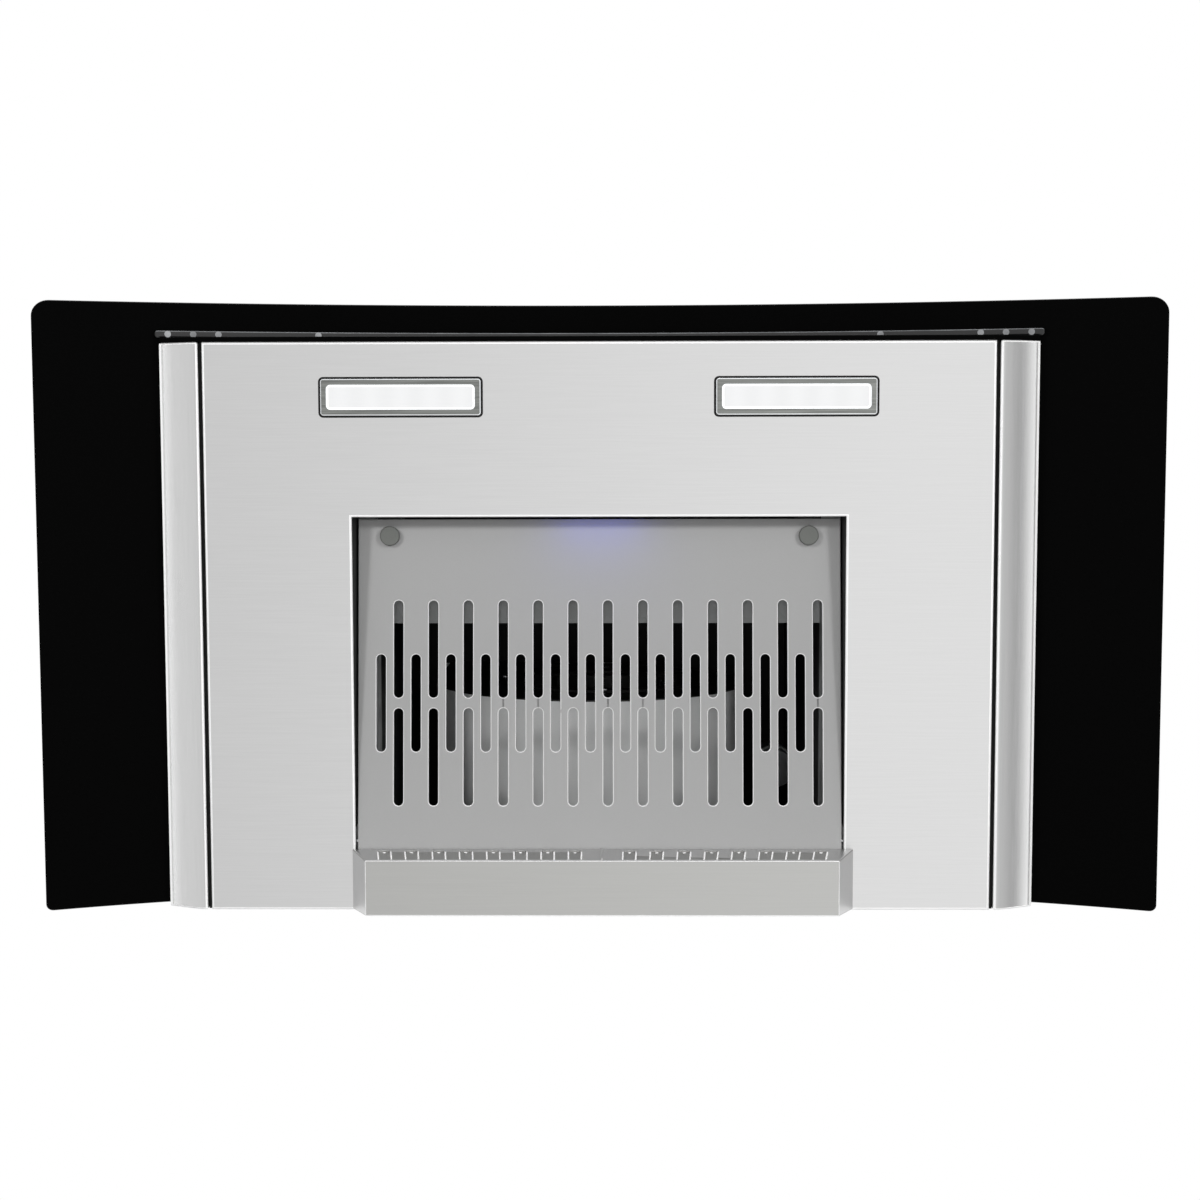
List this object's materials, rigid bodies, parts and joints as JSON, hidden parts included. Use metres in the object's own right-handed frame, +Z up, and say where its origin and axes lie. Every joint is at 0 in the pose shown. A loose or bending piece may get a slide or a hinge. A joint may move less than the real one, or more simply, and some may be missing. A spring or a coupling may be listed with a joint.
{
  "type": "chimney range hood",
  "caption": "Wall-mounted kitchen chimney hood with an arched black glass canopy, lamps, a slotted suction panel, an oil tray, a blower and telescopic chimney covers.",
  "frame": {"origin": "middle of the four wall fixing holes in the back of the blower box, on the wall plane", "axes": "+Z up, +Y towards the wall, +X to the right of a viewer who faces the wall; the front of the hood faces -Y"},
  "size_m": [0.9, 0.494, 0.5283],
  "materials": {
    "black_glass": "gloss, opaque black",
    "brushed_steel": "brushed",
    "painted_grey": "fine matt powder coat",
    "galvanised_steel": "zinc coated",
    "black_paint": "satin black",
    "black_plastic": "satin",
    "grey_plastic": "satin",
    "casing_grey": "satin",
    "bright_metal": "polished",
    "frosted_lens": "frosted",
    "white_plastic": "satin",
    "circuit_board": "solder mask",
    "blue_light": "clear blue",
    "motor_cast": "cast",
    "aluminium": "plain",
    "rubber": "matt"
  },
  "bodies": {
    "hood": {"back_plate": "black_paint", "bead_screws": "bright_metal", "blower_box": "black_paint", "blower_box_top": "black_paint", "blower_casing": "casing_grey", "blower_front_plate": "casing_grey", "body_screws": "bright_metal", "bottom_sheet": "brushed_steel", "cable_gland": "black_plastic", "capacitor": "aluminium", "capacitor_clamp": "galvanised_steel", "chimney_lower_cover": "brushed_steel", "control_board": "circuit_board", "control_cover": "black_plastic", "cover_clips": "galvanised_steel", "cover_screws": "bright_metal", "fascia_bead": "black_plastic", "flap_pins": "galvanised_steel", "front_beam": "galvanised_steel", "front_fascia": "black_glass", "glass_canopy": "black_glass", "glass_pads": "rubber", "glass_rail_left": "galvanised_steel", "glass_rail_right": "galvanised_steel", "glass_screws": "bright_metal", "groove_strips": "black_plastic", "hinge_pins": "bright_metal", "indicator_light": "blue_light", "inlet_ring": "casing_grey", "lamp_bezel_left": "bright_metal", "lamp_bezel_right": "bright_metal", "lamp_housing_left": "white_plastic", "lamp_housing_right": "white_plastic", "lamp_lens_left": "frosted_lens", "lamp_lens_right": "frosted_lens", "lamp_wires": "rubber", "led_board_left": "circuit_board", "led_board_right": "circuit_board", "led_driver": "white_plastic", "motor": "motor_cast", "motor_bearings": "bright_metal", "motor_bracket": "galvanised_steel", "outlet_collar": "black_plastic", "panel_brackets": "galvanised_steel", "power_box": "black_plastic", "side_trim_left": "brushed_steel", "side_trim_right": "brushed_steel", "suction_chamber": "galvanised_steel", "tray_clips": "galvanised_steel"},
    "impeller": {"impeller": "aluminium", "impeller_nut": "bright_metal", "motor_shaft": "bright_metal"},
    "suction_panel": {"slotted_panel": "painted_grey"},
    "thumb_left": {"thumb_screw_left": "grey_plastic"},
    "thumb_right": {"thumb_screw_right": "grey_plastic"},
    "tray": {"oil_tray": "brushed_steel"},
    "left_flap": {"flap_left": "black_plastic"},
    "right_flap": {"flap_right": "black_plastic"},
    "upper_chimney": {"chimney_upper_cover": "brushed_steel", "upper_wall_bracket": "galvanised_steel"}
  },
  "joints": [
    {"name": "impeller_spin", "type": "hinge", "parent": "hood", "child": "impeller", "pos_m": [0.003, -0.07, -0.03431], "axis": [0, 1, 0], "continuous": true},
    {"name": "panel_drop", "type": "hinge", "parent": "hood", "child": "suction_panel", "pos_m": [0, -0.056, -0.27641], "axis": [1, 0, 0], "range_deg": [0, 80]},
    {"name": "thumb_left_turn", "type": "hinge", "parent": "suction_panel", "child": "thumb_left", "pos_m": [-0.1707, -0.30344, -0.2504], "axis": [0, 0.1045, 0.9945], "range_deg": [0, 360]},
    {"name": "thumb_right_turn", "type": "hinge", "parent": "suction_panel", "child": "thumb_right", "pos_m": [0.1707, -0.30344, -0.2504], "axis": [0, 0.1045, 0.9945], "range_deg": [0, 360]},
    {"name": "tray_release", "type": "slide", "parent": "hood", "child": "tray", "axis": [0, 0, -1], "range_m": [0, 0.08]},
    {"name": "left_flap_swing", "type": "hinge", "parent": "hood", "child": "left_flap", "pos_m": [-0.083, -0.094, 0.1412], "axis": [0, 1, 0], "range_deg": [0, 75]},
    {"name": "right_flap_swing", "type": "hinge", "parent": "hood", "child": "right_flap", "pos_m": [-0.073, -0.094, 0.1412], "axis": [0, -1, 0], "range_deg": [0, 75]},
    {"name": "chimney_extend", "type": "slide", "parent": "hood", "child": "upper_chimney", "axis": [0, 0, 1], "range_m": [0, 0.3]}
  ]
}
